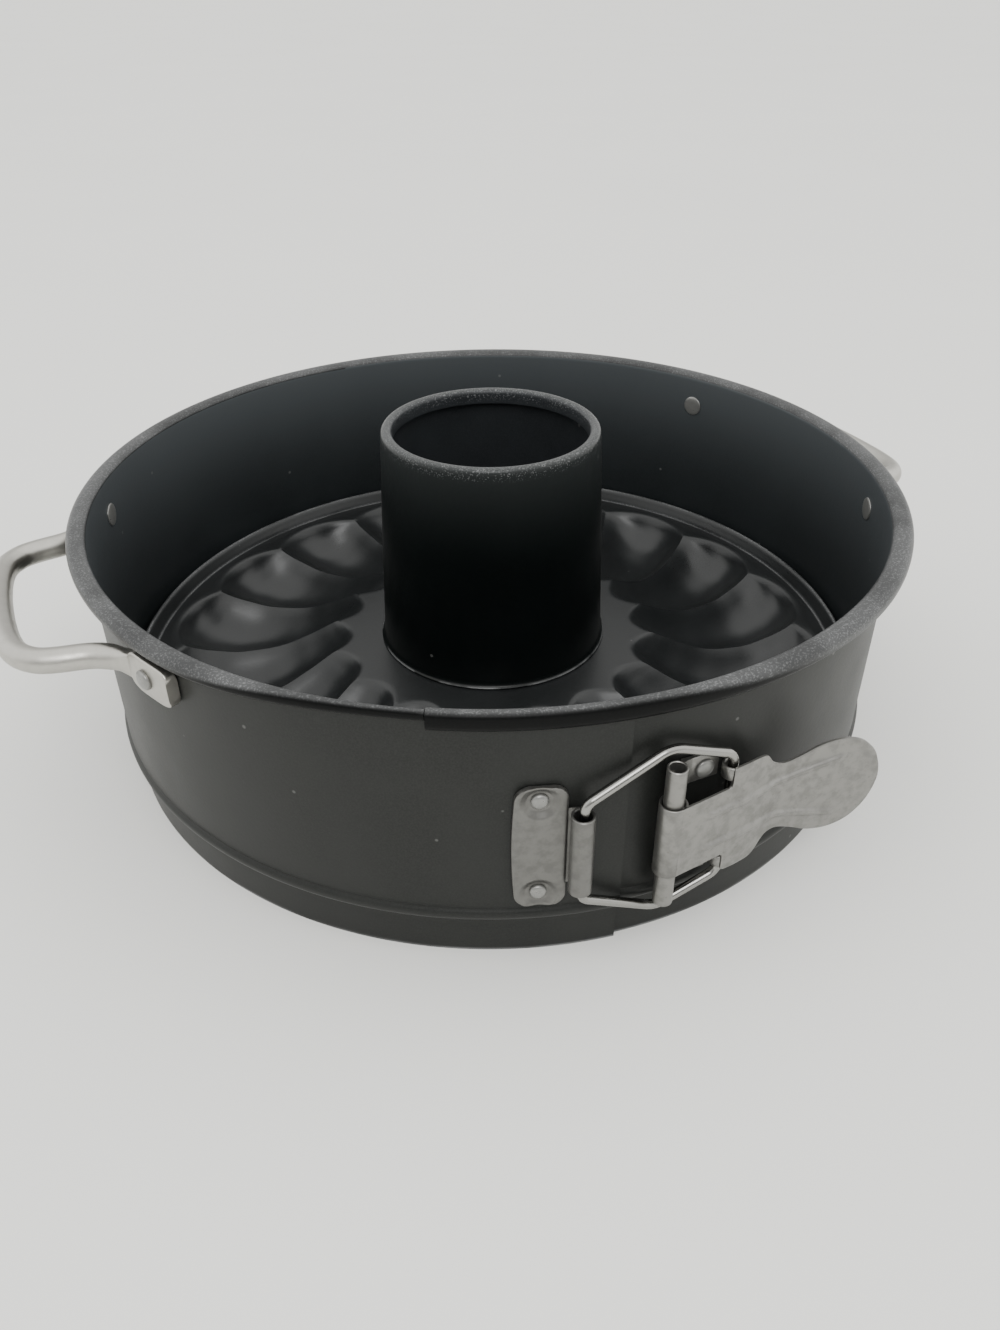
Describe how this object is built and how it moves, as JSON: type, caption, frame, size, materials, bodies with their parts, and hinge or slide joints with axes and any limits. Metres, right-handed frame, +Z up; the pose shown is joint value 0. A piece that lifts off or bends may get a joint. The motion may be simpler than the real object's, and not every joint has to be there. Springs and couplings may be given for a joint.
{
  "type": "fluted tube pan",
  "caption": "Round springform baking pan with a lift-out fluted base and centre tube, wire loop handles, and a lever latch whose wire loop draws the band closed.",
  "frame": {"origin": "on the tube axis at the table plane", "axes": "+Z up along the tube, +X through the handles, -Y out through the latch"},
  "size_m": [0.2837, 0.2442, 0.0914],
  "materials": {
    "coated_steel": "dark grey non-stick coating, satin",
    "latch_steel": "dull plated sheet steel",
    "loop_wire": "bright plated wire",
    "handle_wire": "plated wire, slightly dulled",
    "rivet_steel": "plain"
  },
  "bodies": {
    "band_right": {"band_right": "coated_steel", "handle_right": "handle_wire", "handle_right_rivet_1": "rivet_steel", "handle_right_rivet_2": "rivet_steel", "lever_bracket": "latch_steel", "bracket_rivet_1": "rivet_steel", "bracket_rivet_2": "rivet_steel"},
    "band_left": {"band_left": "coated_steel", "handle_left": "handle_wire", "handle_left_rivet_1": "rivet_steel", "handle_left_rivet_2": "rivet_steel", "loop_plate": "latch_steel", "plate_rivet_1": "rivet_steel", "plate_rivet_2": "rivet_steel"},
    "insert": {"base_plate": "coated_steel", "center_tube": "coated_steel"},
    "lever": {"lever": "latch_steel"},
    "wire_loop": {"wire_loop": "loop_wire"}
  },
  "joints": [
    {"name": "lever_swing", "type": "hinge", "parent": "band_right", "child": "lever", "pos_m": [-0.0063, -0.12023, 0.0367], "axis": [0, 0, -1], "range_deg": [0, 150]},
    {"name": "loop_swing", "type": "hinge", "parent": "lever", "child": "wire_loop", "pos_m": [0.0098, -0.11868, 0.0367], "axis": [0, 0, -1], "range_deg": [-125.5, 0]},
    {"name": "band_open", "type": "hinge", "parent": "band_right", "child": "band_left", "pos_m": [0, 0.1216, 0.037], "axis": [0, 0, -1], "range_deg": [0, 6.12]},
    {"name": "insert_lift", "type": "slide", "parent": "band_right", "child": "insert", "axis": [0, 0, 1], "range_m": [0, 0.085]}
  ],
  "couplings": [
    {"joint": "loop_swing", "follows": "lever_swing", "ratio": -0.83594},
    {"joint": "band_open", "follows": "lever_swing", "ratio": 0.040767}
  ]
}
